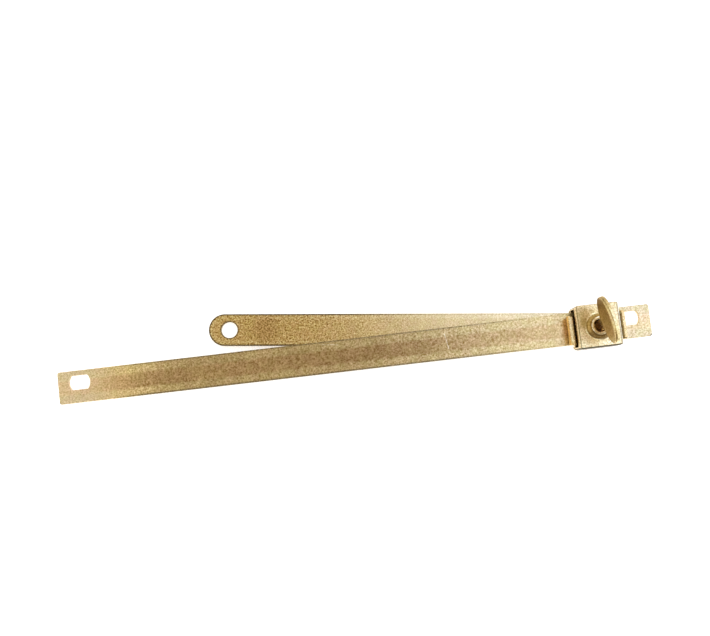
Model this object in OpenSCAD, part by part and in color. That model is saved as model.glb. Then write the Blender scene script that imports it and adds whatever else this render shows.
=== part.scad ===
// Sliding stay for a lid or a hinged sash: a crowned guide bar with a fixing
// hole at each end, a boxed slider with a thumb screw and a friction shoe, and
// a flat arm that swings on a rivet under the slider.
//
// Frame: the origin is midway between the two fixing holes, in the plane of
// the bar's underside. +X runs along the bar towards the end where the slider
// is parked, +Y is the side the fixing holes are set towards, +Z is the side
// the thumb screw stands on.

/* [Guide bar] */
// Length of the guide bar
bar_length = 292.1; // [240:0.1:320]
// Width of the strip that the bar and the arm are cut from
strip_width = 15.9; // [14:0.1:18]
// Thickness of the strip
strip_thickness = 1.5; // [1.2:0.05:1.5]
// Height that the middle of the bar is crowned above its edges
crown_rise = 0.5; // [0.2:0.05:0.5]
// Width of the flat along the top of the crown
crown_flat = 7; // [4:0.5:8]
// Length of the flat tab at each end
tab_length = 21.5; // [18:0.5:24]
// Length over which the crown fades into the flat tab
run_out = 26; // [12:1:40]
// Corner radius of the bar's ends
bar_corner = 1; // [0.5:0.1:2]
// Distance of each fixing hole's centre from the bar's end
hole_inset = 10.5; // [9:0.1:12]
// Offset of the fixing holes from the middle of the bar
hole_offset = 2; // [0:0.1:2.5]
// Diameter of the round sides of a fixing hole
hole_round = 10.4; // [8.5:0.1:11]
// Distance between the flat sides of a fixing hole
hole_flats = 7; // [5:0.1:8]

/* [Arm] */
// Distance from the arm's rivet to the hole at its free end
arm_reach = 180.2; // [120:0.1:200]
// Diameter of the hole at the free end
arm_hole = 8; // [6:0.1:9]
// Distance from the hole's centre to the centre of the rounded end
arm_end_gap = 2.3; // [0:0.1:3]
// Angle between the arm and the bar as parked
arm_angle = 6.5; // [0:0.5:20]
// Diameter of the arm's rivet hole
arm_pivot_hole = 6.1; // [6.1:0.01:6.15]

/* [Slider] */
// Distance of the slider's middle from the middle of the bar
slider_x = 118.4; // [60:0.1:118.4]
// Side play taken up by the slider on the bar
slider_play = -0.3; // [-0.4:0.05:0.4]
// Offset of the screw's and the rivet's axis from the middle of the housing
axis_offset = -0.45; // [-0.6:0.05:0.4]
// Length of the housing along the bar
housing_length = 21.6; // [18:0.1:22]
// Offset of the housing's middle from the screw's axis, along the bar
housing_shift = 0.15; // [-0.4:0.05:0.4]
// Width of the housing across the bar
housing_width = 21.3; // [20.7:0.1:22]
// Height of the housing's top face above the bar's underside
housing_top = 6.6; // [6.6:0.1:8]
// Thickness of the housing's sheet
housing_sheet = 1.4; // [1.2:0.1:1.4]
// Inward lean of each side wall from top to bottom
side_draft = 0.1; // [0:0.05:0.5]
// Radius of the housing's rounded top edges
top_round = 1; // [0.5:0.1:1.2]
// Radius of the side walls' lower bends
foot_round = 1.8; // [0.9:0.1:2]
// Radius of the housing's corners seen from above
plan_round = 1.9; // [0.8:0.1:2]
// Thickness of the base plate under the bar
base_thickness = 1.5; // [1.2:0.1:1.5]
// Gap between the bar's underside and the base plate
base_gap = 0.25; // [0.1:0.05:0.4]

/* [Collar] */
// Radius where the collar's foot meets the top face
collar_foot = 6.2; // [5.5:0.1:7]
// Outer radius of the collar's rim
collar_rim = 4.5; // [4.4:0.1:5]
// Height of the rim above the top face
collar_height = 2.5; // [1.5:0.1:2.8]
// Radius of the tapped bore
collar_bore = 3.25; // [3.24:0.01:3.27]
// Radius of the mouth above the tapped bore
collar_mouth = 3.55; // [3.5:0.05:3.9]

/* [Friction shoe] */
// Length of the shoe over its two lips
shoe_length = 27.4; // [26:0.1:28]
// Width of the shoe
shoe_width = 14.1; // [12:0.1:14.5]
// Thickness of the shoe's sheet
shoe_sheet = 1.4; // [1:0.1:1.5]
// Height of the lips above the bar's underside
lip_top = 6.3; // [5.5:0.1:6.6]
// Inside radius of the lips' bends
lip_bend = 0.7; // [0.4:0.1:1]
// Side play taken up by the shoe in the housing
shoe_play = -0.8; // [-1:0.05:0.4]
// Play taken up by the shoe along the bar
shoe_shift = -0.5; // [-0.7:0.05:0.7]
// Corner radius of the lips' free edges
lip_corner = 1.5; // [0.6:0.1:2]

/* [Thumb screw] */
// Radius of the screw's shank over its thread
screw_radius = 3.19; // [3.17:0.01:3.2]
// Length of the oval wing
wing_length = 22.9; // [18:0.1:24]
// Height of the oval wing
wing_height = 10.6; // [9:0.1:15]
// Thickness of the wing
wing_thickness = 2.6; // [1.8:0.1:2.8]
// Thickness of the neck under the wing
neck_thickness = 2.2; // [1.6:0.1:2.6]
// Height of the wing's middle above the bar's underside
wing_middle = 18; // [16:0.1:19]
// Direction of the wing's long axis as parked, from the bar
wing_angle = 102; // [0:1:180]
// Offset of the wing along its own length from the screw's axis
wing_offset = 1.1; // [0:0.1:1.5]

/* [Rivet] */
// Radius of the rivet where it is set in the base plate
rivet_shank = 2.5; // [2:0.1:2.8]
// Radius of the shoulder that the arm turns on
rivet_shoulder = 3; // [2.98:0.01:3.02]
// Radius of the rivet's head under the arm
rivet_head = 4.6; // [4:0.1:6]
// Height of the rivet's head
rivet_head_height = 1.3; // [1:0.1:2]

/* [Hidden] */
$fn = 96;
eps = 0.01;
brass = [0.80, 0.67, 0.42];
brass_worn = [0.72, 0.58, 0.36];
brass_dark = [0.62, 0.47, 0.26];

bar_y = -hole_offset;                 // the bar's middle line in the row's frame
axis_x = slider_x;                    // the screw's and the rivet's common axis
box_x = axis_x + housing_shift;        // the housing's middle
box_y = bar_y + slider_play;
axis_y = box_y + axis_offset;
sheet_in = housing_top - housing_sheet;
base_top = -base_gap;
base_bottom = base_top - base_thickness;
arm_gap = 0.1;
arm_top = base_bottom - arm_gap;
arm_bottom = arm_top - strip_thickness;
shoe_bottom = strip_thickness + crown_rise + 0.03;
shoe_top = shoe_bottom + shoe_sheet;

// ---------------------------------------------------------------- guide bar
crown_bend = crown_flat / 2 + 1.5;
crown_slope = crown_rise / (0.75 + strip_width / 2 - crown_bend);

// Lift of the strip at a distance y from its middle line
function crown(y) =
    let (a = abs(y), f = crown_flat / 2)
    a <= f ? crown_rise
    : a <= crown_bend ? crown_rise - crown_slope * pow(a - f, 2) / (2 * (crown_bend - f))
    : crown_slope * (strip_width / 2 - a);

function ease(k) = k * k * (3 - 2 * k);

half_ys = [0, crown_flat / 2, crown_flat / 2 + 0.5, crown_flat / 2 + 1, crown_bend,
           (crown_bend + strip_width / 2) / 2, strip_width / 2];
section_ys = concat([for (i = [len(half_ys) - 1 : -1 : 1]) -half_ys[i]],
                    [for (y = half_ys) y]);
m = len(section_ys);

// Closed outline of the strip's section: underside first, then the top
function section(k) =
    concat([for (i = [0 : m - 1]) [section_ys[i], k * crown(section_ys[i])]],
           [for (i = [m - 1 : -1 : 0]) [section_ys[i], strip_thickness + k * crown(section_ys[i])]]);

// The whole strip as one loft: flat at both ends, crowned along the middle
module formed_strip() {
    x_end = bar_length / 2;
    x_tab = x_end - tab_length;
    x_full = x_tab - run_out;
    steps = 6;
    ramp = [for (s = [0 : steps]) [x_full + run_out * s / steps, ease(1 - s / steps)]];
    stations = concat([[-x_end, 0]],
                      [for (i = [steps : -1 : 0]) [-ramp[i][0], ramp[i][1]]],
                      ramp,
                      [[x_end, 0]]);
    n = 2 * m;
    last = len(stations) - 1;
    pts = [for (s = stations) for (p = section(s[1])) [s[0], p[0], p[1]]];
    sides = [for (s = [0 : last - 1]) for (i = [0 : n - 1])
                let (j = (i + 1) % n, a = s * n + i, b = s * n + j, c = a + n, d = b + n)
                for (t = [[a, d, b], [a, c, d]]) t];
    // each end is closed by one strip of triangles from underside to top
    ends = [for (j = [0 : m - 2])
               let (a = j, b = j + 1, c = n - 2 - j, d = n - 1 - j, e = last * n)
               for (t = [[a, c, d], [a, b, c], [e + a, e + c, e + b], [e + a, e + d, e + c]]) t];
    polyhedron(points = pts, faces = concat(ends, sides), convexity = 6);
}

module double_d(h) {
    intersection() {
        cylinder(h = h, d = hole_round, center = true);
        cube([hole_round + 2, hole_flats, h + 2], center = true);
    }
}

// Plan of the strip with its rounded corners
module bar_plan(h) {
    lx = bar_length / 2 - bar_corner;
    ly = strip_width / 2 - bar_corner;
    translate([0, 0, -h / 2]) linear_extrude(h) union() {
        square([bar_length + 1, 2 * ly], center = true);
        square([2 * lx, strip_width + 1], center = true);
        for (sx = [-1, 1]) for (sy = [-1, 1])
            translate([sx * lx, sy * ly]) circle(r = bar_corner, $fn = 48);
    }
}

module guide_bar() {
    color(brass) translate([0, bar_y, 0]) difference() {
        intersection() {
            formed_strip();
            bar_plan(12);
        }
        for (s = [-1, 1])
            translate([s * (bar_length / 2 - hole_inset), hole_offset, strip_thickness / 2])
                double_d(strip_thickness + 2);
    }
}

// -------------------------------------------------------------- support arm
module support_arm() {
    color(brass_worn) translate([axis_x, axis_y, arm_bottom]) rotate([0, 0, 180 - arm_angle])
        difference() {
            union() {
                cylinder(h = strip_thickness, d = strip_width);
                translate([arm_reach + arm_end_gap, 0, 0]) cylinder(h = strip_thickness, d = strip_width);
                translate([0, -strip_width / 2, 0])
                    cube([arm_reach + arm_end_gap, strip_width, strip_thickness]);
            }
            translate([0, 0, -1]) cylinder(h = strip_thickness + 2, d = arm_pivot_hole);
            translate([arm_reach, 0, -1]) cylinder(h = strip_thickness + 2, d = arm_hole);
        }
}

// ------------------------------------------------------------------ housing
hw = housing_width / 2;
// Half width of the side wall's outer face at height z
function wall(z) = hw - side_draft * (housing_top - top_round - z) / (housing_top - top_round - base_bottom);

// Half of the folded section, from the top's middle round to the lower edge
module housing_half_section() {
    hook = 0.75;
    r_in = 0.6;
    round_pts = [for (a = [90 : -11.25 : 0])
                    [hw - top_round + top_round * cos(a), housing_top - top_round + top_round * sin(a)]];
    foot_pts = [for (a = [0 : -15 : -75])
                    [wall(base_bottom + foot_round) - foot_round + foot_round * cos(a),
                     base_bottom + foot_round + foot_round * sin(a)]];
    in_pts = [for (a = [0 : 15 : 90])
                 [wall(sheet_in - r_in) - housing_sheet - r_in + r_in * cos(a), sheet_in - r_in + r_in * sin(a)]];
    polygon(concat(
        [[0, housing_top]],
        round_pts,
        foot_pts,
        [[wall(base_bottom) - housing_sheet - hook, base_bottom],
         [wall(base_bottom + hook) - housing_sheet, base_bottom + hook]],
        in_pts,
        [[0, sheet_in]]));
}

module housing_shell() {
    intersection() {
        rotate([90, 0, 90]) linear_extrude(housing_length, center = true) union() {
            housing_half_section();
            mirror([1, 0]) housing_half_section();
        }
        // rounded edges at the two open ends of the top face
        rotate([90, 0, 0]) linear_extrude(housing_width + 4, center = true) union() {
            translate([-housing_length / 2, base_bottom - 1])
                square([housing_length, housing_top - top_round - base_bottom + 1]);
            translate([-housing_length / 2 + top_round, base_bottom - 1])
                square([housing_length - 2 * top_round, housing_top - base_bottom + 1]);
            for (s = [-1, 1])
                translate([s * (housing_length / 2 - top_round), housing_top - top_round])
                    circle(r = top_round, $fn = 48);
        }
        // corners seen from above
        translate([0, 0, base_bottom - 1]) linear_extrude(housing_top - base_bottom + 2) union() {
            square([housing_length - 2 * plan_round, housing_width], center = true);
            square([housing_length, housing_width - 2 * plan_round], center = true);
            for (sx = [-1, 1]) for (sy = [-1, 1])
                translate([sx * (housing_length / 2 - plan_round), sy * (hw - plan_round)])
                    circle(r = plan_round, $fn = 48);
        }
    }
}

module collar_body() {
    rise = collar_foot - collar_rim;
    rim = housing_top + collar_height;
    rotate_extrude() polygon(concat(
        [[0, sheet_in + 0.2], [collar_foot, sheet_in + 0.2], [collar_foot, housing_top]],
        [for (a = [0 : 15 : 90])
            [collar_foot - rise * sin(a), housing_top + (1 - cos(a)) * (collar_height - 0.6)]],
        [[collar_rim, rim - 0.35], [collar_rim - 0.1, rim - 0.12], [collar_rim - 0.32, rim], [0, rim]]));
}

module collar_hole() {
    rim = housing_top + collar_height;
    flare = 1.1;
    rotate_extrude() polygon(concat(
        [[0, sheet_in - 1], [collar_bore + flare, sheet_in - 1]],
        [for (a = [0 : 15 : 90])
            [collar_bore + flare * (1 - sin(a)), sheet_in + flare * (1 - cos(a))]],
        [[collar_bore, rim - 1.3], [collar_mouth, rim - 0.9], [collar_mouth, rim - 0.25],
         [collar_mouth + 0.12, rim - 0.08], [collar_mouth + 0.3, rim], [collar_mouth + 0.3, rim + 1], [0, rim + 1]]));
}

module slider_housing() {
    color(brass) translate([box_x, box_y, 0])
        difference() {
            union() {
                housing_shell();
                translate([-housing_shift, axis_offset, 0]) collar_body();
            }
            translate([-housing_shift, axis_offset, 0]) collar_hole();
        }
}

// The plate under the bar that the side walls' lower edges are closed over
module slider_base() {
    hook = 0.75;
    y_low = wall(base_bottom) - housing_sheet - hook;
    y_mid = wall(base_bottom + hook) - housing_sheet;
    color(brass_worn) translate([box_x, box_y, 0]) difference() {
        rotate([90, 0, 90]) linear_extrude(housing_length - 0.6, center = true)
            polygon([[-y_low, base_bottom], [y_low, base_bottom], [y_mid, base_bottom + hook],
                     [y_mid, base_top], [-y_mid, base_top], [-y_mid, base_bottom + hook]]);
        translate([-housing_shift, axis_offset, 0]) rivet_set(0.2);
    }
}

// The part of the rivet that fills the base plate, with its flush upper head
module rivet_set(past) {
    rotate_extrude() polygon([[0, base_bottom - past], [rivet_shank, base_bottom - past],
        [rivet_shank, base_top - 1], [rivet_shank + 1.4, base_top], [rivet_shank + 1.4, base_top + past],
        [0, base_top + past]]);
}

module pivot_rivet() {
    under = arm_bottom - arm_gap;
    color(brass_dark) translate([axis_x, axis_y, 0]) union() {
        rivet_set(0);
        translate([0, 0, under]) cylinder(h = base_bottom - under, r = rivet_shoulder);
        rotate_extrude() polygon(concat(
            [[0, under], [rivet_head, under]],
            [for (a = [15 : 15 : 90])
                [rivet_head - 1.6 * (1 - cos(a)), under - rivet_head_height * sin(a)]],
            [[0, under - rivet_head_height]]));
    }
}

// ------------------------------------------------------------ friction shoe
module friction_shoe() {
    r = lip_corner;
    color(brass_dark) translate([axis_x + shoe_shift, box_y + shoe_play, 0]) intersection() {
        rotate([90, 0, 0]) linear_extrude(shoe_width, center = true) union() {
            half_shoe_profile();
            mirror([1, 0]) half_shoe_profile();
        }
        rotate([90, 0, 90]) linear_extrude(shoe_length + 2, center = true) union() {
            translate([-shoe_width / 2, shoe_bottom - 1]) square([shoe_width, lip_top - shoe_bottom + 1 - r]);
            translate([-shoe_width / 2 + r, shoe_bottom - 1]) square([shoe_width - 2 * r, lip_top - shoe_bottom + 1]);
            for (s = [-1, 1]) translate([s * (shoe_width / 2 - r), lip_top - r]) circle(r = r, $fn = 48);
        }
    }
}

module half_shoe_profile() {
    half = shoe_length / 2;
    ro = lip_bend + shoe_sheet;
    translate([0, shoe_bottom]) square([half - ro, shoe_sheet]);
    translate([half - shoe_sheet, shoe_bottom + ro]) square([shoe_sheet, lip_top - shoe_bottom - ro]);
    translate([half - ro, shoe_bottom + ro]) intersection() {
        difference() {
            circle(r = ro, $fn = 64);
            circle(r = lip_bend, $fn = 64);
        }
        translate([0, -ro - 1]) square([ro + 1, ro + 1]);
    }
}

// -------------------------------------------------------------- thumb screw
function oval(a, b, n = 72) = [for (i = [0 : n - 1]) [a * cos(i * 360 / n), b * sin(i * 360 / n)]];

module wing_plate(a, b, t) {
    rotate([90, 0, 0]) linear_extrude(t, center = true) polygon(oval(a, b));
}

module thumb_screw() {
    a = wing_length / 2;
    b = wing_height / 2;
    shank_top = 5.4;
    neck_top = wing_middle - b + 1.2;
    rim = 0.7;
    color(brass) translate([axis_x, axis_y, 0]) {
        rotate_extrude() polygon([[0, shoe_top], [screw_radius - 0.7, shoe_top],
            [screw_radius, shoe_top + 0.7], [screw_radius, shank_top - 0.4],
            [screw_radius - 0.4, shank_top], [0, shank_top]]);
        rotate([0, 0, wing_angle]) {
            translate([wing_offset, 0, wing_middle]) hull() {
                wing_plate(a, b, wing_thickness - 2 * rim);
                wing_plate(a - 0.3 * rim, b - 0.3 * rim, wing_thickness - 0.6 * rim);
                wing_plate(a - rim, b - rim, wing_thickness);
            }
            rotate([90, 0, 0]) linear_extrude(neck_thickness, center = true)
                polygon([[-2.5, shank_top - 0.5], [2.5, shank_top - 0.5], [2.5, neck_top - 2.6],
                         [3.1, neck_top - 1.2], [4.8, neck_top], [-3.2, neck_top], [-2.7, neck_top - 1.2],
                         [-2.5, neck_top - 2.6]]);
        }
    }
}

guide_bar();
support_arm();
slider_housing();
slider_base();
pivot_rivet();
friction_shoe();
thumb_screw();
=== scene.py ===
import math

import bpy
import numpy as np
from mathutils import Matrix, Vector
from mathutils.geometry import delaunay_2d_cdt


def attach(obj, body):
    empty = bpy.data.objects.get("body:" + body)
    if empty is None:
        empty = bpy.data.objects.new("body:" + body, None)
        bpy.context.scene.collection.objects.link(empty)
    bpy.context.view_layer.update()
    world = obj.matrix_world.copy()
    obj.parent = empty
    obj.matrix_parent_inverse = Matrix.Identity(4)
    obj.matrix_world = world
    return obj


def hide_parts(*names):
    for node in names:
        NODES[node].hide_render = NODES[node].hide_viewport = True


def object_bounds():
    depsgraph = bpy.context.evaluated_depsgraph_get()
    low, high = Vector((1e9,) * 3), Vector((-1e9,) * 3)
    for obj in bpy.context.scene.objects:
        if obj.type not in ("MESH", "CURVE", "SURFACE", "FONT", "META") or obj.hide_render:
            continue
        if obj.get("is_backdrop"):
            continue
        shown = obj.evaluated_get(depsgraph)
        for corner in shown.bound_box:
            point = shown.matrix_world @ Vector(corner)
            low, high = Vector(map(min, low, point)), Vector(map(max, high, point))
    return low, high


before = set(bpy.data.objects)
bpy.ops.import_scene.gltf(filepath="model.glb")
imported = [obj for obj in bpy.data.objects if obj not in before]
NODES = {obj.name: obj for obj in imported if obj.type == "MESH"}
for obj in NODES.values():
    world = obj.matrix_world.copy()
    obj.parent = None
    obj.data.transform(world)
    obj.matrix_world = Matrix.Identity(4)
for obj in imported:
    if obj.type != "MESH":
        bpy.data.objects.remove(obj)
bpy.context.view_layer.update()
MM = 0.001

# The part's own dimensions, in mm, as part.scad has them. Pieces are made in
# local coordinates and placed at these points of the row frame.
BAR_Y = -2.0                      # middle line of the bar
AXIS_X, AXIS_Y = 118.4, -2.75     # the screw's and the rivet's axis
BOX_X, BOX_Y = 118.55, -2.3        # middle of the housing
SHOE_X, SHOE_Y = 117.9, -3.1
BAR_HALF, STRIP_HALF, STRIP_T = 146.05, 7.95, 1.5
HOLE_X, HOLE_DY = 135.55, 2.0
TAB, RUN_OUT = 21.5, 26.0
CROWN, FLAT_HALF, BEND = 0.5, 3.5, 5.0
ARM_REACH, ARM_END = 180.2, 182.5
ARM_TOP, ARM_ANGLE = -1.85, 180 - 6.5
WING_ANGLE = 102.0


# ------------------------------------------------------------------ camera
def make_camera():
    tilt, shift_px, dist, roll, f_px = math.radians(3.0), 72.0, 0.290, math.radians(-6.69), 590.6
    tx, ty = -2.17 * MM, (-17.38 - 2.0) * MM
    down = Vector((math.sin(roll), -math.cos(roll), 0))
    target = Vector((tx, ty, 0))
    back = math.cos(tilt) * Vector((0, 0, 1)) + math.sin(tilt) * down
    z = back.normalized()
    up_hint = Vector((-math.sin(roll), math.cos(roll), 0))
    x = up_hint.cross(z).normalized()
    y = z.cross(x)
    data = bpy.data.cameras.new("camera")
    cam = bpy.data.objects.new("camera", data)
    bpy.context.scene.collection.objects.link(cam)
    cam.matrix_world = Matrix.Translation(target + dist * back) @ Matrix((x, y, z)).transposed().to_4x4()
    data.sensor_width = 36.0
    data.lens = 36.0 * f_px / 710.0
    data.shift_y = shift_px / 710.0
    data.clip_start, data.clip_end = 0.01, 20
    bpy.context.scene.camera = cam


make_camera()


# --------------------------------------------------------- shapes as fields
# Each field is negative inside the metal and in mm. a and b are fields.
def rmax(a, b, r):
    """Both, with the edge between them rounded to radius r."""
    return np.minimum(np.maximum(a, b), -r) + np.hypot(np.maximum(a + r, 0), np.maximum(b + r, 0))


def rmin(a, b, r):
    """Either, with the corner between them filled to radius r."""
    return -rmax(-a, -b, r)


def smax(a, b, k):
    h = np.maximum(k - np.abs(a - b), 0) / k
    return np.maximum(a, b) + h * h * k * 0.25


def smin(a, b, k):
    return -smax(-a, -b, k)


def gradient(f, p, e=0.012):
    g = np.empty_like(p)
    for i in range(3):
        d = np.zeros(3)
        d[i] = e
        g[:, i] = (f(*(p + d).T) - f(*(p - d).T)) / (2 * e)
    return g


def nets(f, lo, hi, h):
    """Quads on the surface f = 0, from one vertex in each cell of a grid that the surface crosses."""
    lo, hi = np.array(lo, float), np.array(hi, float)
    n = np.ceil((hi - lo) / h).astype(int) + 1
    ax = [lo[i] + h * np.arange(n[i]) for i in range(3)]
    D = np.empty(n)
    for i in range(0, n[0], 8):
        X, Y, Z = np.meshgrid(ax[0][i:i + 8], ax[1], ax[2], indexing="ij")
        D[i:i + 8] = f(X, Y, Z)
    D[D == 0] = 1e-9
    ins = D < 0
    count = sum(ins[a:n[0] - 1 + a, b:n[1] - 1 + b, c:n[2] - 1 + c].astype(np.int8)
                for a in (0, 1) for b in (0, 1) for c in (0, 1))
    cells = np.argwhere((count > 0) & (count < 8))
    index = np.full(n - 1, -1)
    index[tuple(cells.T)] = np.arange(len(cells))
    total, hits = np.zeros((len(cells), 3)), np.zeros(len(cells))
    corners = [np.array(c) for c in np.ndindex(2, 2, 2)]
    for c0 in corners:
        for axis in range(3):
            if c0[axis]:
                continue
            c1 = c0.copy()
            c1[axis] = 1
            a, b = D[tuple((cells + c0).T)], D[tuple((cells + c1).T)]
            cross = (a < 0) != (b < 0)
            t = np.where(cross, a / np.where(cross, a - b, 1), 0)
            total += cross[:, None] * (c0 + t[:, None] * (c1 - c0))
            hits += cross
    p = lo + h * (cells + total / hits[:, None])
    faces = []
    for axis in range(3):
        u, v = (axis + 1) % 3, (axis + 2) % 3
        a = np.swapaxes(ins, 0, axis) if axis else ins
        first, second = [slice(None)] * 3, [slice(None)] * 3
        first[axis], second[axis] = slice(0, -1), slice(1, None)
        first, second = ins[tuple(first)], ins[tuple(second)]
        e = np.argwhere(first != second)
        e = e[(e[:, u] > 0) & (e[:, v] > 0) & (e[:, u] < n[u] - 1) & (e[:, v] < n[v] - 1)]
        du, dv = np.eye(3, dtype=int)[u], np.eye(3, dtype=int)[v]
        quad = np.stack([index[tuple((e - du - dv).T)], index[tuple((e - dv).T)],
                         index[tuple(e.T)], index[tuple((e - du).T)]], 1)
        flip = ~first[tuple(e.T)]
        quad[flip] = quad[flip][:, ::-1]
        faces.append(quad)
    faces = np.concatenate(faces)
    step = 0.6 * h
    for _ in range(4):
        g = gradient(f, p)
        d = f(*p.T)
        move = -d[:, None] * g / np.maximum((g * g).sum(1), 0.25)[:, None]
        size = np.maximum(np.linalg.norm(move, axis=1), 1e-12)
        p = p + move * np.minimum(1, step / size)[:, None]
    g = gradient(f, p, 0.03)
    normal = g / np.maximum(np.linalg.norm(g, axis=1), 1e-9)[:, None]
    # how sharply the surface bends: above 0 on outer edges, below 0 in hollows
    e = 0.25
    bend = sum(f(*(p + s * e * np.eye(3)[i]).T) for i in range(3) for s in (-1, 1)) - 6 * f(*p.T)
    return p, faces, normal, bend / (e * e)


def mesh_piece(name, p, faces, normals, place=(0, 0, 0, 0), attributes=None):
    """A mesh object in the row frame from points in a piece's own frame, in mm, shaded with the given normals. The
    piece's own coordinates stay on the points as "local", for the materials."""
    x, y, z, turn = place
    c, s = math.cos(math.radians(turn)), math.sin(math.radians(turn))
    rot = np.array([[c, -s, 0], [s, c, 0], [0, 0, 1]])
    me = bpy.data.meshes.new(name)
    me.from_pydata(((p @ rot.T + [x, y, z]) * MM).tolist(), [], [list(map(int, f)) for f in faces])
    me.polygons.foreach_set("use_smooth", [True] * len(me.polygons))
    me.normals_split_custom_set_from_vertices((normals @ rot.T).tolist())
    a = me.attributes.new("local", "FLOAT_VECTOR", "POINT")
    a.data.foreach_set("vector", np.asarray(p, np.float32).ravel())
    for key, values in (attributes or {}).items():
        a = me.attributes.new(key, "FLOAT", "POINT")
        a.data.foreach_set("value", np.asarray(values, np.float32))
    ob = bpy.data.objects.new(name, me)
    bpy.context.scene.collection.objects.link(ob)
    return ob


def placed(x, y, z=0.0, turn=0.0):
    return (x, y, z, turn)


def field_piece(name, f, lo, hi, h, place):
    p, faces, normal, bend = nets(f, lo, hi, h)
    return mesh_piece(name, p, faces, normal, place, {"bend": bend})


# ------------------------------------------------------------ strip pieces
def arc(cx, cy, r, a0, a1, n):
    """n + 1 points on an arc, in degrees."""
    a = np.radians(np.linspace(a0, a1, n + 1))
    return np.stack([cx + r * np.cos(a), cy + r * np.sin(a)], 1)


def divide(loop, longest):
    """The loop with its long straight sides divided."""
    out = []
    for a, b in zip(loop, np.roll(loop, -1, 0)):
        n = max(1, int(math.ceil(np.linalg.norm(b - a) / longest)))
        out += [a + (b - a) * k / n for k in range(n)]
    return np.array(out)


def outward(loop):
    """Miter directions to the right of a loop, which is outward of a counter-clockwise one."""
    d = np.roll(loop, -1, 0) - loop
    d /= np.linalg.norm(d, axis=1)[:, None]
    n2 = np.stack([d[:, 1], -d[:, 0]], 1)
    n1 = np.roll(n2, 1, 0)
    return (n1 + n2) / (1 + (n1 * n2).sum(1))[:, None]


def strip_piece(name, outline, holes, inside, grid, z0, z1, edge, place, lift=None, steps=4):
    """A flat strip between z0 and z1 with rounded edges. outline is counter-clockwise and holes are clockwise, so that
    the metal lies to the left of both. inside(x, y) is the plan's field, grid the inner points. lift(x, y) gives how
    much the strip is raised there, with its two slopes."""
    loops = [outline] + holes
    flat = np.concatenate(loops)
    starts = np.cumsum([0] + [len(l) for l in loops])
    nxt = np.concatenate([s + np.roll(np.arange(len(l)), -1) for s, l in zip(starts, loops)])
    miter = np.concatenate([outward(l) for l in loops])
    unit = miter / np.linalg.norm(miter, axis=1)[:, None]
    m = len(flat)
    pts, nrm = [], []
    angles = list(np.linspace(-90, 0, steps + 1)) + list(np.linspace(0, 90, steps + 1))
    for k, a in enumerate(angles):
        c, s = math.cos(math.radians(a)), math.sin(math.radians(a))
        base = z0 + edge if k <= steps else z1 - edge
        xy = flat - miter * edge * (1 - c)
        pts.append(np.column_stack([xy, np.full(m, base + edge * s)]))
        nrm.append(np.column_stack([unit * c, np.full(m, s)]))
    rings = len(angles)
    faces = []
    i = np.arange(m)
    for k in range(rings - 1):
        faces.append(np.stack([k * m + i, k * m + nxt, (k + 1) * m + nxt, (k + 1) * m + i], 1))
    faces = [f for f in np.concatenate(faces)]
    rim = pts[-1][:, :2]
    keep = inside(grid[:, 0], grid[:, 1]) < -(edge + 0.45)
    inner = grid[keep]
    coords = np.concatenate([rim, inner])
    edges = [(int(a), int(b)) for a, b in zip(i, nxt)]
    out = delaunay_2d_cdt([Vector(c) for c in coords], edges, [], 0, 1e-6, True)
    verts2, tris, orig = out[0], out[2], out[3]
    back = {}
    for k, o in enumerate(orig):
        back[k] = o[0]
    v2 = np.array([[v[0], v[1]] for v in verts2])
    t = np.array(tris)
    mid = v2[t].mean(1)
    # a triangle belongs to the strip if its middle does
    field = inside(mid[:, 0], mid[:, 1])
    t = t[field < -edge * 0.5]
    a, b, c = v2[t[:, 0]], v2[t[:, 1]], v2[t[:, 2]]
    turn = (b[:, 0] - a[:, 0]) * (c[:, 1] - a[:, 1]) - (b[:, 1] - a[:, 1]) * (c[:, 0] - a[:, 0])
    t[turn < 0] = t[turn < 0][:, ::-1]
    t = np.vectorize(back.get)(t)
    k_in = len(inner)
    total = rings * m
    top_in = np.column_stack([inner, np.full(k_in, z1)])
    low_in = np.column_stack([inner, np.full(k_in, z0)])
    pts = np.concatenate(pts + [top_in, low_in])
    nrm = np.concatenate(nrm + [np.tile([0, 0, 1.0], (k_in, 1)), np.tile([0, 0, -1.0], (k_in, 1))])
    top = np.where(t < m, t + (rings - 1) * m, t - m + total)
    low = np.where(t < m, t, t - m + total + k_in)
    faces += [f for f in top] + [f for f in low[:, ::-1]]
    if lift is not None:
        up, sx, sy = lift(pts[:, 0], pts[:, 1])
        pts[:, 2] += up
        nrm[:, 0] -= nrm[:, 2] * sx
        nrm[:, 1] -= nrm[:, 2] * sy
        nrm /= np.linalg.norm(nrm, axis=1)[:, None]
    return mesh_piece(name, pts, faces, nrm, place)


def grid_lines(xs, ys):
    X, Y = np.meshgrid(xs, ys, indexing="ij")
    return np.column_stack([X.ravel(), Y.ravel()])


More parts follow.
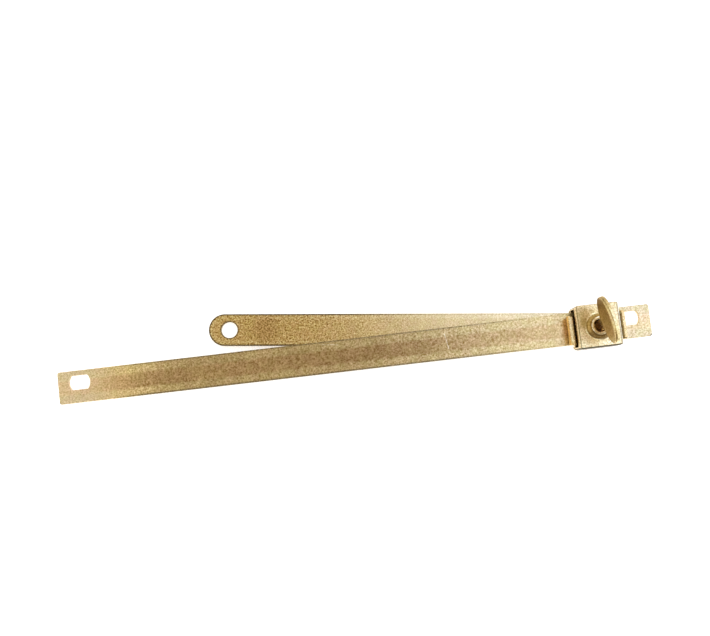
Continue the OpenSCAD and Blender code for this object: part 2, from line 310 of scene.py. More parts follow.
def make_bar():
    r, hole_r, flat = 1.0, 5.2, 3.5
    outline = np.concatenate([
        arc(BAR_HALF - r, -STRIP_HALF + r, r, -90, 0, 6), arc(BAR_HALF - r, STRIP_HALF - r, r, 0, 90, 6),
        arc(-BAR_HALF + r, STRIP_HALF - r, r, 90, 180, 6), arc(-BAR_HALF + r, -STRIP_HALF + r, r, 180, 270, 6)])
    # a hole with two round sides and two flat ones, its corners eased
    ease = 0.45
    cy = flat - ease
    cx = math.sqrt((hole_r - ease) ** 2 - cy ** 2)
    turn = math.degrees(math.atan2(cy, cx))
    quarter = np.concatenate([arc(0, 0, hole_r, 0, turn, 7), arc(cx, cy, ease, turn, 90, 4)[1:]])
    half = np.concatenate([quarter, (quarter * [-1, 1])[::-1]])
    hole = np.concatenate([half, -half[1:-1]])[::-1]
    keep = np.ones(len(hole), bool)
    for k in range(len(hole)):
        if np.linalg.norm(hole[k] - hole[k - 1]) < 1e-6:
            keep[k] = False
    hole = hole[keep]
    holes = [divide(hole + [s * HOLE_X, HOLE_DY], 0.8) for s in (-1, 1)]

    def inside(x, y):
        d = rmax(np.abs(x) - BAR_HALF, np.abs(y) - STRIP_HALF, r)
        for s in (-1, 1):
            hx, hy = x - s * HOLE_X, y - HOLE_DY
            d = np.maximum(d, -np.maximum(np.hypot(hx, hy) - hole_r, np.abs(hy) - flat))
        return d

    slope = CROWN / (0.75 + STRIP_HALF - BEND)

    def lift(x, y):
        a = np.abs(y)
        side = np.where(a <= FLAT_HALF, CROWN,
                        np.where(a <= BEND, CROWN - slope * (a - FLAT_HALF) ** 2 / (2 * (BEND - FLAT_HALF)),
                                 slope * (STRIP_HALF - a)))
        dside = np.where(a <= FLAT_HALF, 0, np.where(a <= BEND, -slope * (a - FLAT_HALF) / (BEND - FLAT_HALF), -slope))
        k = np.clip((BAR_HALF - TAB - np.abs(x)) / RUN_OUT, 0, 1)
        e = k * k * (3 - 2 * k)
        de = 6 * k * (1 - k) * -np.sign(x) / RUN_OUT
        return e * side, de * side, e * dside * np.sign(y)

    ys = [-7.2, -6.4, -5.6, -5.0, -4.5, -4.0, -3.5, -2.4, -1.2, 0, 1.2, 2.4, 3.5, 4.0, 4.5, 5.0, 5.6, 6.4, 7.2]
    xs = np.concatenate([np.arange(-BAR_HALF + 1, -96, 1.1), np.arange(-95.5, 96, 2.2), np.arange(97, BAR_HALF, 1.1)])
    return strip_piece("bar_plate", divide(outline, 1.0), holes, inside, grid_lines(xs, ys), 0, STRIP_T, 0.22,
                       placed(0, BAR_Y), lift)


def make_arm():
    r, hole_r, pivot_r = STRIP_HALF, 4.0, 3.05
    outline = np.concatenate([arc(ARM_END, 0, r, -90, 90, 44), arc(0, 0, r, 90, 270, 44)])
    holes = [arc(ARM_REACH, 0, hole_r, 0, -360, 64)[:-1], arc(0, 0, pivot_r, 0, -360, 56)[:-1]]

    def inside(x, y):
        d = np.hypot(x - np.clip(x, 0, ARM_END), y) - r
        return np.maximum(d, np.maximum(hole_r - np.hypot(x - ARM_REACH, y), pivot_r - np.hypot(x, y)))

    ys = np.linspace(-7.2, 7.2, 13)
    xs = np.concatenate([np.arange(-7.2, 9, 1.1), np.arange(10, 170, 2.4), np.arange(171, 190, 1.1)])
    return strip_piece("arm_plate", divide(outline, 1.2), holes, inside, grid_lines(xs, ys), -STRIP_T, 0, 0.22,
                       placed(AXIS_X, AXIS_Y, ARM_TOP, ARM_ANGLE))


# ------------------------------------------------------------------ slider
H_TOP, H_SHEET, H_LOW = 6.6, 1.4, -1.75
H_LEN, H_WID, DRAFT, T_ROUND, F_ROUND, P_ROUND = 10.8, 10.65, 0.1, 1.0, 1.8, 1.9
AXIS_DX, AXIS_DY = AXIS_X - BOX_X, AXIS_Y - BOX_Y
RIM = H_TOP + 2.5
PITCH = 1.27


def wall(z):
    return H_WID - DRAFT * (H_TOP - T_ROUND - z) / (H_TOP - T_ROUND - H_LOW)


def thread(r, angle, z, depth, hand=1.0):
    """A saw of triangles from 0 to depth that climbs one pitch a turn."""
    k = z / PITCH - hand * angle / (2 * math.pi)
    t = np.abs((k - np.floor(k)) * 2 - 1)
    return depth * np.clip(t * 1.35 - 0.17, 0, 1)


def housing_field(x, y, z):
    ay, ax = np.abs(y), np.abs(x)
    cx, cy = x - AXIS_DX, y - AXIS_DY
    r = np.hypot(cx, cy)
    w = wall(z)
    side, top, low, end = ay - w, z - H_TOP, H_LOW - z, ax - H_LEN
    body = rmax(rmax(side, top, T_ROUND), low, F_ROUND)
    ends = np.maximum(rmax(top, end, T_ROUND), rmax(side, end, P_ROUND))
    body = smax(body, ends, 0.12)
    # collar drawn up out of the sheet, with a hollow at its foot
    collar = rmax(rmax(r - 4.5, z - RIM, 0.28), H_TOP - 0.6 - z, 0.1)
    body = rmin(body, collar, 1.6)
    # the space inside the fold
    cav = rmax(ay - (w - H_SHEET), z - (H_TOP - H_SHEET), 0.6)
    hook = (ay - (wall(H_LOW) - H_SHEET - 0.75) - (z - H_LOW)) * 0.7071
    cav = np.maximum(cav, hook)
    angle = np.arctan2(cy, cx)
    fade = np.clip((RIM - 1.4 - z) / 0.5, 0, 1) * np.clip((z - H_TOP + H_SHEET - 0.2) / 0.5, 0, 1)
    bore = r - (3.25 + fade * thread(r, angle, z, 0.4))
    # the mouth is drilled a little off the tapping
    mr = np.hypot(cx - 0.05, cy - 0.24)
    mouth = rmax(mr - 3.5, RIM - 1.15 - z, 0.3)
    mouth = np.minimum(mouth, (mr - 3.66 + (RIM - z)) * 0.7071)
    metal = rmax(-cav, -bore, 1.0)
    metal = smax(metal, -mouth, 0.1)
    body = smax(body, metal, 0.25)
    # the first thread runs out as a crescent in the mouth
    t = (angle + 1.35) / 1.25
    size = 0.36 * np.sqrt(np.clip(1 - t * t, 0, 1))
    crest = np.hypot(r - 3.3, (z - (RIM - 0.95) - 0.12 * t) * 0.8) - size
    return np.where(size > 0.02, smin(body, crest, 0.1), body)


def make_housing():
    return field_piece("slider_cover", housing_field, (-11.15, -11.0, -2.1), (11.15, 11.0, 9.4), 0.18,
                       placed(BOX_X, BOX_Y))


def base_field(x, y, z):
    w0, w1 = wall(H_LOW) - H_SHEET - 0.75, wall(H_LOW + 0.75) - H_SHEET
    ay = np.abs(y)
    side = np.maximum((ay - w0 - (z - H_LOW)) * 0.7071, ay - w1)
    f = rmax(rmax(z + 0.25, H_LOW - z, 0.12), side, 0.18)
    f = rmax(f, np.abs(x) - H_LEN + 0.3, 0.22)
    hole = np.hypot(x - AXIS_DX, y - AXIS_DY) - (2.5 + np.clip(z + 1.25, 0, None) * 1.4)
    return smax(f, -hole, 0.06)


def make_base():
    return field_piece("slider_bottom_plate", base_field, (-10.8, -9.7, -2.0), (10.8, 9.7, 0.0), 0.18,
                       placed(BOX_X, BOX_Y))


def rivet_field(x, y, z):
    r = np.hypot(x, y)
    under = -3.45
    shank = rmax(r - 2.5, np.abs(z + 1.0) - 0.75, 0.05)
    cone = np.maximum((r - 2.5 - (z + 1.25) * 1.4) * 0.58, np.maximum(z + 0.25, -1.6 - z))
    shoulder = np.maximum(r - 3.0, np.abs(z - (H_LOW + under) / 2) - (H_LOW - under) / 2)
    head_r = 4.6
    # a low dome with an eased rim and a shallow spun dimple
    dome = np.sqrt(r * r + (z - 5.0) ** 2) - 9.75
    head = rmax(rmax(r - head_r, z - under, 0.12), dome, 0.5)
    head = smax(head, -(np.sqrt(r * r + (z + 6.55) ** 2) - 2.0), 0.15)
    return np.minimum(np.minimum(shank, cone), rmin(shoulder, head, 0.1))


def make_rivet():
    return field_piece("rivet_set", rivet_field, (-4.9, -4.9, -5.0), (4.9, 4.9, 0.0), 0.13,
                       placed(AXIS_X, AXIS_Y))


def shoe_field(x, y, z):
    ax, ay = np.abs(x), np.abs(y)
    half, t, rb = 13.7, 1.4, 0.7
    z0, top = 2.03, 6.3
    cx, cz = half - t - rb, z0 + t + rb
    flat = np.abs(z - z0 - t / 2) - t / 2
    lip = np.abs(ax - half + t / 2) - t / 2
    corner = np.abs(np.hypot(ax - cx, z - cz) - rb - t / 2) - t / 2
    u = np.where((ax > cx) & (z < cz), corner,
                 np.where(ax <= cx, np.where(z < cz, flat, np.minimum(flat, np.hypot(lip, 0))), lip))
    u = np.where((ax <= cx) & (z >= cz), np.minimum(np.abs(flat), np.abs(lip)), u)
    plan = rmax(ay - 7.05, z - top, 1.5)
    return rmax(u, plan, 0.26)


def make_shoe():
    return field_piece("friction_pad", shoe_field, (-14.0, -7.3, 1.8), (14.0, 7.3, 6.6), 0.17,
                       placed(SHOE_X, SHOE_Y))


def screw_field(x, y, z):
    # x runs along the wing, y through it
    r = np.hypot(x, y)
    a, b, t = 11.45, 5.3, 2.6
    px, pz = x - 1.1, z - 18.0
    k0 = np.sqrt((px / a) ** 2 + (pz / b) ** 2) + 1e-9
    k1 = np.sqrt((px / a ** 2) ** 2 + (pz / b ** 2) ** 2) + 1e-9
    oval = k0 * (k0 - 1) / k1
    oval = np.where(k0 < 0.4, -3.0, oval)
    # the two halves of the rim meet in a groove, open at the low end
    end = np.clip((-px - 3.0) / 8.0, 0, 1)
    groove = (0.14 + 0.6 * end * end) * np.exp(-((y - 0.5) / (0.28 + 0.12 * end)) ** 2)
    wing = rmax(oval + groove, np.abs(y) - t / 2, 0.7)
    # the neck widens into the wing
    width = 2.5 + 1.5 * np.clip((z - 11.0) / 3.0, 0, 1) ** 2
    neck = rmax(np.abs(x - 0.35 * np.clip(z - 11.0, 0, 3)) - width, np.abs(y) - 1.1, 0.5)
    neck = np.maximum(neck, np.maximum(4.9 - z, z - 14.5))
    wing = smin(wing, neck, 0.9)
    z0, z1 = 3.43, 5.4
    fade = np.clip((z - z0 - 0.35) / 0.5, 0, 1) * np.clip((z1 - 0.15 - z) / 0.4, 0, 1)
    cut = 0.46 * fade - thread(r, np.arctan2(y, x), z, 0.46) * fade
    shank = (r - 3.19 + cut) * 0.8
    low = (r - 3.19 + (z0 + 0.7 - z)) * 0.7071
    shank = np.maximum(np.maximum(shank, low), rmax(z - z1, r - 3.19, 0.4))
    shank = smax(shank, z0 - z, 0.1)
    return smin(wing, shank, 0.5)


def make_screw():
    return field_piece("thumb_turn_screw", screw_field, (-10.8, -3.5, 3.2), (12.9, 3.5, 23.7), 0.15,
                       placed(AXIS_X, AXIS_Y, 0, WING_ANGLE))


PIECES = {}
for make, body, node, slot in (
        (make_bar, "bar", "guide_bar", "bar_plating"),
        (make_arm, "arm", "support_arm", "arm_plating"),
        (make_housing, "slider", "slider_housing", "housing_plating"),
        (make_base, "slider", "slider_base", "base_plating"),
        (make_rivet, "slider", "pivot_rivet", "rivet_plating"),
        (make_shoe, "shoe", "friction_shoe", "shoe_plating"),
        (make_screw, "thumb", "thumb_screw", "screw_plating")):
    piece = make()
    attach(piece, body)
    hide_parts(node)
    PIECES[node] = piece
# ------------------------------------------------------------------- nodes
class Nodes:
    """Short names for the few shader nodes that the materials and the light use."""

    def __init__(self, tree):
        self.tree = tree

    def new(self, kind, **settings):
        node = self.tree.nodes.new(kind)
        for key, value in settings.items():
            setattr(node, key, value)
        return node

    def put(self, socket, value):
        if hasattr(value, "is_output"):
            self.tree.links.new(value, socket)
        else:
            socket.default_value = value

    def math(self, op, a, b=None, c=None, clamp=False):
        node = self.new("ShaderNodeMath", operation=op, use_clamp=clamp)
        for i, v in enumerate((a, b, c)):
            if v is not None:
                self.put(node.inputs[i], v)
        return node.outputs[0]

    def add(self, a, b):
        return self.math("ADD", a, b)

    def mul(self, a, b):
        return self.math("MULTIPLY", a, b)

    def vector(self, op, a, b=None):
        node = self.new("ShaderNodeVectorMath", operation=op)
        self.put(node.inputs[0], a)
        if b is not None:
            self.put(node.inputs[3 if op == "SCALE" else 1], b)
        return node.outputs["Value" if op in ("DOT_PRODUCT", "LENGTH", "DISTANCE") else "Vector"]

    def split(self, v):
        node = self.new("ShaderNodeSeparateXYZ")
        self.put(node.inputs[0], v)
        return node.outputs

    def join(self, x, y, z):
        node = self.new("ShaderNodeCombineXYZ")
        for i, v in enumerate((x, y, z)):
            self.put(node.inputs[i], v)
        return node.outputs[0]

    def step(self, v, lo, hi, a=0.0, b=1.0):
        """Smoothly from a at v = lo to b at v = hi."""
        node = self.new("ShaderNodeMapRange", interpolation_type="SMOOTHSTEP")
        self.put(node.inputs["Value"], v)
        for key, x in (("From Min", lo), ("From Max", hi), ("To Min", a), ("To Max", b)):
            self.put(node.inputs[key], x)
        return node.outputs[0]

    def noise(self, where, scale, detail=2.0, rough=0.5, colour=False):
        node = self.new("ShaderNodeTexNoise")
        self.put(node.inputs["Vector"], where)
        self.put(node.inputs["Scale"], scale)
        self.put(node.inputs["Detail"], detail)
        self.put(node.inputs["Roughness"], rough)
        return node.outputs["Color" if colour else 0]

    def curve(self, v, points, interpolation="LINEAR"):
        """A grey or coloured ramp through [(position from 0 to 1, value or colour)]."""
        node = self.new("ShaderNodeValToRGB")
        ramp = node.color_ramp
        ramp.interpolation = interpolation
        while len(ramp.elements) < len(points):
            ramp.elements.new(0.5)
        for e, (pos, col) in zip(ramp.elements, points):
            e.position = pos
            e.color = (col, col, col, 1) if isinstance(col, (int, float)) else (*col, 1)
        self.put(node.inputs[0], v)
        return node.outputs["Color"]

    def mix(self, fac, a, b, blend="MIX"):
        node = self.new("ShaderNodeMix", data_type="RGBA", blend_type=blend)
        self.put(node.inputs["Factor"], fac)
        for key, v in (("A", a), ("B", b)):
            socket = [s for s in node.inputs if s.identifier == key + "_Color"][0]
            self.put(socket, v if hasattr(v, "is_output") else (*v, 1))
        return [s for s in node.outputs if s.identifier == "Result_Color"][0]

    def scaled(self, colour, k):
        """A colour times a grey factor."""
        return self.vector("SCALE", colour, k)

    def local(self, name="local"):
        node = self.new("ShaderNodeAttribute", attribute_type="GEOMETRY", attribute_name=name)
        return node.outputs["Fac" if name == "bend" else "Vector"]

    def near_line(self, p, a, b, full, none):
        """1 within `full` mm of the straight line from a to b in plan, fading to 0 at `none` mm."""
        a, b = np.array([*a, 0.0]), np.array([*b, 0.0])
        ab = b - a
        t = self.vector("DOT_PRODUCT", self.vector("SUBTRACT", p, tuple(a)), tuple(ab / (ab @ ab)))
        t = self.math("ADD", t, 0.0, clamp=True)
        foot = self.vector("ADD", self.vector("SCALE", tuple(ab), t), tuple(a))
        flat = self.vector("MULTIPLY", self.vector("SUBTRACT", p, foot), (1, 1, 0))
        return self.step(self.vector("LENGTH", flat), full, none, 1.0, 0.0)

    def spot(self, p, x, y, full, none, stretch=1.0):
        """1 around a point in plan, fading to 0 at `none` mm."""
        d = self.vector("MULTIPLY", self.vector("SUBTRACT", p, (x, y, 0)), (1 / stretch, 1, 0))
        return self.step(self.vector("LENGTH", d), full, none, 1.0, 0.0)


# ------------------------------------------------------------------- light
def light():
    """A soft studio: bright all round, with a dim warm strip overhead where the photographer stands."""
    world = bpy.data.worlds.new("studio")
    bpy.context.scene.world = world
    world.use_nodes = True
    n = Nodes(world.node_tree)
    way = n.new("ShaderNodeTexCoord").outputs["Generated"]
    x, y, z = n.split(way)
    deg = 180 / math.pi
    up = n.math("MAXIMUM", z, 0.001)
    ax = n.mul(n.math("ARCTAN2", x, up), deg)
    ay = n.mul(n.math("ARCTAN2", y, up), deg)
    along = n.curve(n.math("MULTIPLY_ADD", ax, 1 / 120, 0.5), [((a + 60) / 120, v) for a, v in ALONG])
    aside = n.math("ABSOLUTE", n.math("SUBTRACT", ay, MID_Y))
    away = n.step(aside, *ASIDE)
    colour = n.mix(away, along, (SIDE, SIDE * 0.985, SIDE * 0.95))
    low = n.step(z, 0.02, 0.40, LOW, 1.0)
    bg = world.node_tree.nodes["Background"]
    n.put(bg.inputs[0], n.scaled(colour, low))
    bg.inputs[1].default_value = 1.0
    bpy.context.scene.view_settings.view_transform = "Standard"


# what is overhead, by degrees to the right of straight up
ALONG = [(-60, (1.45, 1.41, 1.32)), (-42, (1.35, 1.3, 1.2)), (-30, (1.18, 1.15, 1.02)), (-24, (0.89, 0.85, 0.73)),
         (-18, (0.53, 0.44, 0.26)), (-13, (0.43, 0.345, 0.17)), (-8, (0.39, 0.27, 0.108)), (-2, (0.39, 0.285, 0.138)),
         (2, (0.50, 0.41, 0.285)), (6, (0.82, 0.75, 0.64)), (11, (1.28, 1.31, 1.37)), (17, (1.29, 1.44, 1.72)),
         (26, (1.35, 1.55, 2.0)), (40, (1.6, 1.7, 2.05)), (60, (1.7, 1.75, 1.9))]
MID_Y, ASIDE, SIDE, LOW = 8.0, (12.0, 38.0), 1.3, 0.35
light()


# --------------------------------------------------------------- materials
def brass(name, base=(0.72, 0.55, 0.29), dark=(0.275, 0.18, 0.082), rough=0.28, shape=None, grain=1.0, patchy=0.6):
    """Satin plated brass. shape(n, p) returns how much of the colour is tarnish, in places painted shade, a list of
    (factor, colour) laid over the metal, among them painted shade and painted highlights, a tint that multiplies it, in
    places painted light, then if wanted a change of roughness and a strength for the grain."""
    mat = bpy.data.materials.new(name)
    mat.use_nodes = True
    n = Nodes(mat.node_tree)
    b = mat.node_tree.nodes["Principled BSDF"]
    p = n.local()
    # tumbled skin: fine grain in colour and gloss, and larger soft patches
    fine = n.noise(p, 1.25, 2.0, 0.6)
    fleck = n.noise(n.vector("ADD", p, (17.0, 5.0, 23.0)), 0.95, 2.0, 0.6)
    patch = n.noise(n.vector("ADD", p, (31.0, 7.0, 3.0)), 0.14, 3.0, 0.55)
    hue = n.noise(n.vector("ADD", p, (5.0, 63.0, 9.0)), 0.22, 1.0, 0.5)
    tarnish, over, tint, *more = shape(n, p)
    t = n.add(n.mul(n.math("SUBTRACT", patch, 0.5), patchy), tarnish)
    lively = more[1] if len(more) > 1 else 1.0
    t = n.add(n.mul(n.mul(n.math("SUBTRACT", fleck, 0.5), 0.42 * grain), lively), t)
    t = n.math("ADD", t, 0.10, clamp=True)
    colour = n.mix(t, base, dark)
    pink = n.step(hue, 0.36, 0.64)
    colour = n.mix(1.0, colour, n.mix(pink, (0.985, 1.006, 0.95), (1.015, 0.99, 1.02)), "MULTIPLY")
    for fac, col in over:
        colour = n.mix(fac, colour, col)
    # bright grains are paler and dark ones deeper in colour
    k = n.mul(n.mul(n.math("SUBTRACT", fine, 0.475), 2.6 * grain), lively)
    speck = n.vector("ADD", n.vector("SCALE", (0.92, 1.1, 1.6), k), EVEN)
    colour = n.vector("MULTIPLY", n.vector("MULTIPLY", colour, tint), speck)
    n.put(b.inputs["Base Color"], colour)
    b.inputs["Metallic"].default_value = 1.0
    r = n.add(n.mul(n.math("SUBTRACT", fleck, 0.5), 0.4), rough)
    r = n.add(r, more[0]) if more else r
    n.put(b.inputs["Roughness"], n.math("ADD", r, n.mul(t, 0.10), clamp=True))
    bump = n.new("ShaderNodeBump")
    bump.inputs["Strength"].default_value = 0.35
    bump.inputs["Distance"].default_value = 0.0001
    n.put(bump.inputs["Height"], n.add(n.noise(p, 1.7, 3.0, 0.6), n.mul(n.noise(p, 0.3, 2.0, 0.5), 0.9)))
    n.put(b.inputs["Normal"], bump.outputs[0])
    return mat


EVEN = (1, 1, 1)


def plain(n, p):
    return 0.0, [], EVEN


def bar_wear_and_painted_light(n, p):
    x, y, z = n.split(p)
    u = n.math("MULTIPLY_ADD", x, 1 / 292.1, 0.5)
    at = lambda pts: [(v / 292.1 + 0.5, t) for v, t in pts]
    crown = n.curve(u, at([(-146, 0.0), (-128, 0.06), (-116, 0.38), (-104, 0.62), (-90, 0.76), (-74, 0.66), (-50, 0.69), (-10, 0.80),
                        (6, 0.86), (16, 0.78), (30, 0.74), (46, 0.62), (74, 0.41), (97, 0.16), (125, 0.05), (140, 0.0)]))
    sides = n.curve(u, at([(-120, 0.02), (-112, 0.06), (-104, 0.22), (-96, 0.42), (-84, 0.56), (-70, 0.66), (-54, 0.54), (-20, 0.58),
                        (8, 0.60), (18, 0.50), (34, 0.44), (46, 0.35), (60, 0.30), (74, 0.18), (86, 0.04), (100, 0.10), (125, 0.0)]))
    far = n.math("ABSOLUTE", y)
    off = n.math("ABSOLUTE", n.math("ADD", y, 0.35))
    mid = n.step(n.add(off, n.mul(n.math("SUBTRACT", n.noise(p, 0.5, 2.0), 0.5), 1.4)), 2.8, 4.3, 1.0, 0.0)
    t = n.add(n.mul(crown, mid), n.mul(sides, n.math("SUBTRACT", 1.0, mid)))
    # painted shade: a dark line along both long edges, standing in for the dark the rounded edges reflect
    edge = n.step(n.add(far, n.mul(n.math("SUBTRACT", n.noise(p, 0.7, 2.0), 0.5), 0.4)), 6.95, 7.55)
    edge = n.mul(edge, n.mul(n.step(x, -122, -104), n.step(x, 40, 110, 1.0, 0.1)))
    over = [(n.mul(n.mul(edge, n.step(y, -1.0, 1.0, 0.85, 0.62)), n.noise(p, 0.9, 2.0, 0.6)), (0.10, 0.072, 0.038))] * 2
    corners = n.math("MAXIMUM", n.spot(p, 145.8, -7.7, 0.3, 1.3), n.mul(n.spot(p, -145.8, -7.7, 0.2, 0.9), 0.7))
    over.append((n.mul(corners, 0.8), (0.08, 0.065, 0.04)))
    over.append((n.mul(n.near_line(p, (44.5, 4.6), (45.8, -2.6), 0.08, 0.34), 0.5), (0.80, 0.72, 0.58)))
    over.append((n.mul(n.near_line(p, (7.4, 7.6), (8.9, 4.0), 0.08, 0.35), 0.5), (0.22, 0.15, 0.08)))
    over.append((n.mul(n.near_line(p, (-16.2, 6.6), (-8.0, 5.5), 0.04, 0.28), 0.3), (0.76, 0.70, 0.56)))
    tint = n.mix(mid, (0.98, 1.025, 1.03), (1.015, 0.985, 0.96))
    # painted light: warmer left of the middle, paler and cooler towards both ends, standing in for washed-out
    # highlights
    tone = n.mix(n.step(x, -20, 60), (1.0, 0.97, 0.88), (1.0, 1.0, 1.0))
    tone = n.mix(n.step(x, 105, 140), tone, (1.0, 1.03, 1.16))
    tone = n.mix(n.step(x, -135, -112), (1.0, 1.03, 1.22), tone)
    calm = n.mul(n.step(x, -132, -104, 0.55, 1.0), n.step(x, 50, 95, 1.0, 0.68))
    return t, over, n.vector("MULTIPLY", tint, tone), 0.0, calm


def arm_wear_and_painted_light(n, p):
    x, y, z = n.split(p)
    r = n.vector("LENGTH", n.vector("MULTIPLY", n.vector("SUBTRACT", p, (180.2, 0, 0)), (1, 1, 0)))
    tip = n.vector("LENGTH", n.vector("MULTIPLY", n.vector("SUBTRACT", p, (182.5, 0, 0)), (1, 1, 0)))
    beyond = n.step(x, 182.4, 182.6)
    far = n.add(n.mul(tip, beyond), n.mul(n.math("ABSOLUTE", y), n.math("SUBTRACT", 1.0, beyond)))
    # painted shade: a dark line along the edges, and round the hole below, standing in for the dark the rounded edges
    # reflect
    edge = n.step(n.add(far, n.mul(n.math("SUBTRACT", n.noise(p, 0.7, 2.0), 0.5), 0.5)), 6.95, 7.55)
    edge = n.mul(edge, n.step(x, 60, 130, 0.2, 1.0))
    rim = n.step(r, 4.2, 4.9, 1.0, 0.0)
    patch = n.spot(p, 162.5, 0.0, 3.0, 11.0, 0.75)
    t = n.add(n.mul(patch, 0.3), n.curve(n.math("MULTIPLY", x, 1 / 190), [(0.0, 0.0), (0.5, 0.0), (0.8, 0.1), (1.0, 0.0)]))
    # painted highlight: a paler band along both long edges
    edge_highlight = n.step(far, 4.6, 6.2)
    over = [(n.mul(edge_highlight, 0.24), (0.90, 0.78, 0.52)), (n.mul(patch, 0.45), (0.48, 0.30, 0.135)), (n.mul(edge, 0.9), (0.11, 0.08, 0.04)), (n.mul(rim, 0.85), (0.12, 0.085, 0.04))]
    # painted light: cooler towards the pivot and warmer towards the far end, standing in for highlights washing out
    # where more light falls
    tint = n.mix(n.step(x, 70, 150), (0.99, 1.02, 1.06), (1.03, 0.98, 0.80))
    return t, over, tint, 0.0, n.step(x, 70, 150, 0.42, 1.42)


def hollow(n, p, inside):
    """Painted shade where the light doesn't reach: `inside` is a list of factors that all have to be 1."""
    f = inside[0]
    for g in inside[1:]:
        f = n.mul(f, g)
    return [(n.mul(f, 0.9), (0.11, 0.065, 0.022))]


def housing_wear_and_painted_light(n, p):
    x, y, z = n.split(p)
    ay, ax = n.math("ABSOLUTE", y), n.math("ABSOLUTE", x)
    r = n.vector("LENGTH", n.vector("MULTIPLY", n.vector("SUBTRACT", p, (-0.15, -0.45, 0)), (1, 1, 0)))
    # painted shade inside the fold and down the bore
    over = hollow(n, p, [n.step(ay, 9.15, 9.3, 1.0, 0.0), n.step(z, 5.1, 5.3, 1.0, 0.0), n.step(ax, 9.8, 10.75, 1.0, 0.55)])
    over += hollow(n, p, [n.step(r, 3.3, 3.8, 1.0, 0.0), n.step(z, 7.2, 8.4, 1.0, 0.0)])
    # painted light: the top is paler towards -Y and +X, where it catches more of the studio light
    pale = n.math("MAXIMUM", n.step(y, -9.2, -3.8, 1.15, 0.0), n.mul(n.step(x, 2.0, 8.5), 0.8))
    pale = n.math("MAXIMUM", pale, n.step(y, 7.5, 9.5, 0.0, 0.7))
    pale = n.mul(n.mul(pale, n.step(r, 6.7, 7.5)), n.step(z, 6.2, 6.5))
    over.append((n.mul(pale, 0.5), (0.92, 0.80, 0.52)))
    # painted highlights along the rounded outer edges, strongest at the +X end
    over.append((n.mul(n.step(n.local("bend"), 0.5, 2.0), 0.35), (0.82, 0.71, 0.48)))
    over.append((n.mul(n.step(x, 10.0, 10.35), n.step(z, 5.6, 6.0)), (0.98, 0.94, 0.80)))
    # painted shade: the folded sides are dark, darkest near their top, standing in for the dark they reflect, and a
    # fine painted dark line follows the bend at each end
    side = n.math("MAXIMUM", n.step(n.math("MULTIPLY_ADD", y, -0.02, ay), 10.1, 10.35), n.mul(n.step(z, 5.6, 5.9, 1.0, 0.0), n.step(ay, 9.7, 9.9)))
    over.append((n.mul(side, 0.88), (0.12, 0.095, 0.05)))
    over.append((n.mul(n.mul(side, n.step(z, 4.2, 5.2)), 0.8), (0.05, 0.042, 0.024)))
    line = n.mul(n.step(ax, 9.55, 9.75), n.step(ax, 10.05, 10.25, 1.0, 0.0))
    over.append((n.mul(n.mul(line, 0.8), n.step(z, 6.2, 6.35)), (0.22, 0.16, 0.07)))
    # painted shade: brown up the collar's wall, standing in for the dark the steep wall reflects, darker towards -Y,
    # where the rim is painted dark too; elsewhere the rim carries a painted highlight, and a golden painted shade lies
    # beside the collar
    wall = n.mul(n.step(r, 4.35, 4.45), n.mul(n.step(r, 5.9, 6.4, 1.0, 0.0), n.step(z, 6.45, 6.6)))
    wall = n.mul(wall, n.step(z, 8.8, 9.0, 1.0, 0.0))
    under = n.step(y, -4.6, -1.2, 1.0, 0.0)
    wall_under = n.mul(n.mul(under, n.step(r, 4.35, 4.45)), n.mul(n.step(r, 6.5, 7.0, 1.0, 0.0), n.step(z, 8.8, 9.0, 1.0, 0.0)))
    rim = n.mul(n.step(z, 8.85, 8.98), n.step(r, 3.4, 3.6))
    over.append((n.mul(wall, 0.7), (0.36, 0.22, 0.045)))
    over.append((n.mul(wall_under, 0.85), (0.15, 0.09, 0.03)))
    over.append((n.mul(n.mul(rim, n.math("SUBTRACT", 1.0, under)), 0.8), (0.98, 0.88, 0.66)))
    over.append((n.mul(n.mul(rim, under), 0.6), (0.20, 0.14, 0.06)))
    # painted highlight on the foot ring's -X side, where it catches the light
    ring = n.mul(n.step(r, 6.15, 6.4), n.step(r, 6.7, 7.1, 1.0, 0.0))
    over.append((n.mul(n.mul(ring, n.step(x, -2.0, 1.0, 1.0, 0.0)), 0.9), (0.99, 0.86, 0.52)))
    # golden painted shade beside the collar, standing in for the wing's reflection in the top
    shade = n.math("MAXIMUM", n.spot(p, -7.2, 2.0, 0.5, 5.4, 0.75), n.mul(n.spot(p, -6.0, 6.6, 1.0, 6.5), 0.6))
    over.append((n.mul(shade, 0.8), (0.40, 0.27, 0.07)))
    return n.math("SUBTRACT", n.mul(wall, 0.5), 0.08), over, EVEN


def shoe_wear_and_painted_light(n, p):
    x, y, z = n.split(p)
    ax = n.math("ABSOLUTE", x)
    # painted shade on the flat under the housing
    over = hollow(n, p, [n.step(ax, 9.8, 10.8, 1.0, 0.0), n.step(z, 3.6, 4.6, 1.0, 0.0)])
    upright = n.mul(n.step(z, 5.7, 6.1, 1.0, 0.0), n.step(ax, 11.6, 12.3))
    over.append((n.mul(n.mul(upright, n.step(x, 0.0, 1.0)), 0.85), (0.98, 0.84, 0.55)))
    outer = n.mul(n.step(x, -13.55, -13.4, 1.0, 0.0), n.mul(n.step(z, 1.7, 2.2), n.step(z, 5.7, 6.0, 1.0, 0.0)))
    over.append((n.mul(outer, 0.8), (0.80, 0.57, 0.20)))
    # painted shadow at the near end of the +X lip's top
    end = n.mul(n.step(y, -6.7, -6.2, 1.0, 0.0), n.mul(n.step(x, 11.5, 12.0), n.step(z, 5.2, 5.6)))
    over.append((n.mul(end, 0.85), (0.10, 0.07, 0.025)))
    worn = n.step(x, 0.0, 1.0, 0.22, 0.0)
    t = n.add(n.mul(n.step(z, 5.7, 6.1), worn), -0.08)
    return t, over, (1.0, 0.98, 0.92), n.add(n.mul(upright, 0.6), n.mul(outer, 0.45))


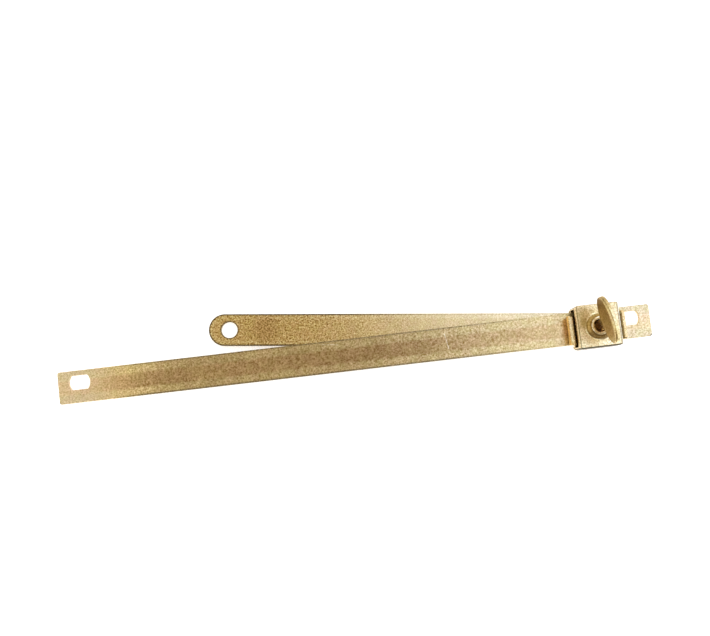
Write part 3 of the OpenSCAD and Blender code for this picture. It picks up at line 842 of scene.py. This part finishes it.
def screw_wear_and_painted_light(n, p):
    x, y, z = n.split(p)
    # painted shade on the shank down in the collar
    over = hollow(n, p, [n.step(z, 4.0, 6.2, 0.92, 0.0)])
    over.append((n.mul(n.step(z, 9.5, 12.5, 0.75, 0.0), n.step(z, 5.0, 6.5)), (0.62, 0.34, 0.19)))
    # brown faces, with a painted highlight on the right lobe of the rim; the groove round the rim is painted dark, as
    # shade in the crease, only at its near end
    near = n.step(x, -7.5, -2.5, 1.0, 0.0)
    right = n.mul(n.step(y, -1.3, -1.2), n.mul(n.step(y, 0.05, 0.2, 1.0, 0.0), n.step(x, 3.0, 8.0, 1.0, 0.0)))
    over.append((n.mul(right, 0.55), (0.86, 0.77, 0.54)))
    over.append((n.mul(n.mul(n.step(n.math("ABSOLUTE", n.math("SUBTRACT", y, 0.52)), 0.26, 0.42, 1.0, 0.0), near), 0.9), (0.24, 0.15, 0.05)))
    ends = n.math("MAXIMUM", n.step(x, -3.0, 2.0), n.step(x, -10.0, -7.0, 0.8, 0.25))
    over.append((n.mul(n.mul(n.step(y, -1.12, -0.95, 1.0, 0.0), ends), 0.8), (0.20, 0.13, 0.06)))
    at = lambda pts: [((v + 1.5) / 3, t) for v, t in pts]
    t = n.curve(n.math("MULTIPLY_ADD", y, 1 / 3, 0.5), at([(-1.5, 0.5), (-1.25, 0.3), (-1.0, 0.0), (0.0, 0.05),
                (0.3, 0.35), (0.65, 0.42), (0.85, 0.14), (1.1, 0.18), (1.25, 0.56), (1.5, 0.56)]))
    tip = n.mul(n.step(x, 5.0, 10.5), 0.5)
    return n.add(t, tip), over, (1.0, 1.0, 0.86)


MATERIALS = {
    "guide_bar": brass("bar brass", rough=0.38, shape=bar_wear_and_painted_light, patchy=0.35),
    "support_arm": brass("arm brass", shape=arm_wear_and_painted_light, grain=1.15, patchy=0.5),
    "slider_housing": brass("housing brass", rough=0.40, shape=housing_wear_and_painted_light, grain=0.75, patchy=0.25),
    "slider_base": brass("base brass", shape=plain),
    "pivot_rivet": brass("rivet brass", shape=plain),
    "friction_shoe": brass("shoe brass", shape=shoe_wear_and_painted_light, grain=0.7),
    "thumb_screw": brass("screw brass", shape=screw_wear_and_painted_light, grain=0.6, patchy=0.3),
}
for node, ob in PIECES.items():
    ob.data.materials.clear()
    ob.data.materials.append(MATERIALS[node])


# ------------------------------------------------------------------- floor
def floor():
    me = bpy.data.meshes.new("floor")
    me.from_pydata([(-3, -3, 0), (3, -3, 0), (3, 3, 0), (-3, 3, 0)], [], [(0, 1, 2, 3)])
    ob = bpy.data.objects.new("floor", me)
    ob.location.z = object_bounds()[0].z - 0.00005
    bpy.context.scene.collection.objects.link(ob)
    mat = bpy.data.materials.new("floor")
    mat.use_nodes = True
    b = mat.node_tree.nodes["Principled BSDF"]
    b.inputs["Base Color"].default_value = (0.93, 0.93, 0.925, 1)
    b.inputs["Roughness"].default_value = 1.0
    b.inputs["Specular IOR Level"].default_value = 0.0
    b.inputs["Emission Color"].default_value = (1, 1, 1, 1)
    b.inputs["Emission Strength"].default_value = 0.5
    me.materials.append(mat)
    ob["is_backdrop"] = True


floor()
